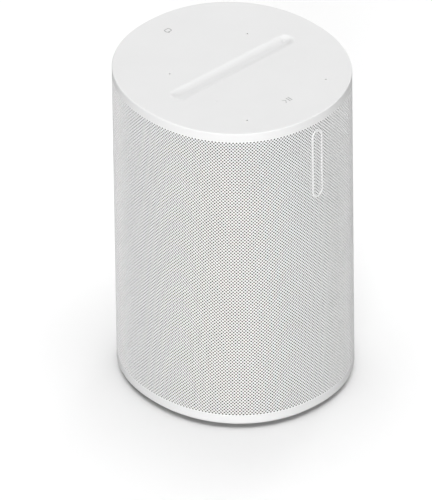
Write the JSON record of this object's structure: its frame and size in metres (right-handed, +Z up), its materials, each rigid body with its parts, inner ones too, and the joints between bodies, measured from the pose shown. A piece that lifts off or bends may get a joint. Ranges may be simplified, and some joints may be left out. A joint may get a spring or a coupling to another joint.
{
  "type": "smart speaker",
  "caption": "Oval tower smart speaker with a perforated sleeve, touch cap with a trough, rear connection panel, and a full set of drivers and boards inside.",
  "frame": {"origin": "on the surface it stands on, under the middle of the oval body", "axes": "+Z up, the front (the side the woofer faces) looks along -Y, +X to the right as seen from the front"},
  "size_m": [0.1186, 0.1253, 0.1836],
  "materials": {
    "foot_rubber": "matte, fine grain",
    "body_plastic": "fine satin, white",
    "cap_plastic": "soft matte, white",
    "grille_paint": "satin white, perforated",
    "badge_plastic": "satin white",
    "button_plastic": "satin white",
    "insert_brass": "turned",
    "pin_brass": "plated",
    "screw_steel": "zinc plated",
    "motor_steel": "zinc plated",
    "port_steel": "drawn",
    "shield_steel": "tinned",
    "magnet_ferrite": "sintered",
    "circuit_board": "solder mask",
    "antenna_board": "bare board",
    "inner_plastic": "moulded grain",
    "basket_plastic": "glass filled",
    "inlet_plastic": "moulded",
    "gasket_rubber": "closed-cell foam",
    "surround_rubber": "smooth",
    "cone_paper": "pressed fibre",
    "dome_silk": "coated weave",
    "spider_cloth": "impregnated weave",
    "copper_wire": "wound wire",
    "lead_sleeve": "insulated",
    "flat_cable": "polyimide film",
    "light_pipe": "clear moulded",
    "led_body": "resin",
    "heat_sink_aluminium": "extruded",
    "transformer_tape": "wound tape",
    "capacitor_sleeve": "shrink sleeve"
  },
  "bodies": {
    "root": {"base_foot": "foot_rubber", "base_tray": "body_plastic", "stand_insert": "insert_brass", "base_screws": "screw_steel", "grille": "grille_paint", "front_badge": "badge_plastic", "top_cap": "cap_plastic", "touch_board": "circuit_board", "mic_gaskets": "gasket_rubber", "mic_modules": "shield_steel", "status_light_pipe": "light_pipe", "status_led": "led_body", "top_frame": "inner_plastic", "top_screws": "screw_steel", "touch_flat_cable": "flat_cable", "enclosure_front": "inner_plastic", "enclosure_rear": "inner_plastic", "enclosure_gasket": "gasket_rubber", "enclosure_screws": "screw_steel", "woofer_frame": "basket_plastic", "woofer_gasket": "gasket_rubber", "woofer_screws": "screw_steel", "woofer_surround": "surround_rubber", "woofer_spider": "spider_cloth", "woofer_top_plate": "motor_steel", "woofer_magnet": "magnet_ferrite", "woofer_yoke": "motor_steel", "tweeter_left_waveguide": "inner_plastic", "tweeter_left_surround": "surround_rubber", "tweeter_left_motor": "motor_steel", "tweeter_right_waveguide": "inner_plastic", "tweeter_right_surround": "surround_rubber", "tweeter_right_motor": "motor_steel", "tweeter_screws": "screw_steel", "speaker_leads": "lead_sleeve", "main_board": "circuit_board", "main_shield_can": "shield_steel", "amplifier_heat_sink": "heat_sink_aluminium", "radio_antennas": "antenna_board", "power_board": "circuit_board", "power_transformer": "transformer_tape", "power_capacitor": "capacitor_sleeve", "power_lead": "lead_sleeve", "board_screws": "screw_steel", "rear_panel": "body_plastic", "power_inlet": "inlet_plastic", "inlet_pins": "pin_brass", "io_board": "circuit_board", "usb_c_port": "port_steel", "button_switch": "inner_plastic", "mic_switch_body": "inner_plastic"},
    "pairing_button": {"pairing_button": "button_plastic"},
    "mic_switch_slider": {"mic_switch_slider": "button_plastic"},
    "woofer_diaphragm": {"woofer_cone": "cone_paper", "woofer_dust_cap": "cone_paper", "woofer_voice_coil": "copper_wire"},
    "tweeter_left_dome": {"tweeter_left_dome": "dome_silk"},
    "tweeter_right_dome": {"tweeter_right_dome": "dome_silk"}
  },
  "joints": [
    {"name": "pairing_button_press", "type": "slide", "parent": "root", "child": "pairing_button", "axis": [0, 1, 0], "range_m": [-0.0005, 0], "stiffness_N_per_m": 600, "springref_m": 0.0002},
    {"name": "mic_switch_slide", "type": "slide", "parent": "root", "child": "mic_switch_slider", "axis": [0, 0, 1], "range_m": [0, 0.0035]},
    {"name": "woofer_stroke", "type": "slide", "parent": "root", "child": "woofer_diaphragm", "axis": [0, -1, 0], "range_m": [-0.004, 0.004], "stiffness_N_per_m": 1500, "deforming": ["woofer_surround", "woofer_spider"]},
    {"name": "tweeter_left_stroke", "type": "slide", "parent": "root", "child": "tweeter_left_dome", "axis": [-0.6428, -0.766, 0], "range_m": [-0.0004, 0.0004], "stiffness_N_per_m": 800, "deforming": ["tweeter_left_surround"]},
    {"name": "tweeter_right_stroke", "type": "slide", "parent": "root", "child": "tweeter_right_dome", "axis": [0.6428, -0.766, 0], "range_m": [-0.0004, 0.0004], "stiffness_N_per_m": 800, "deforming": ["tweeter_right_surround"]}
  ]
}
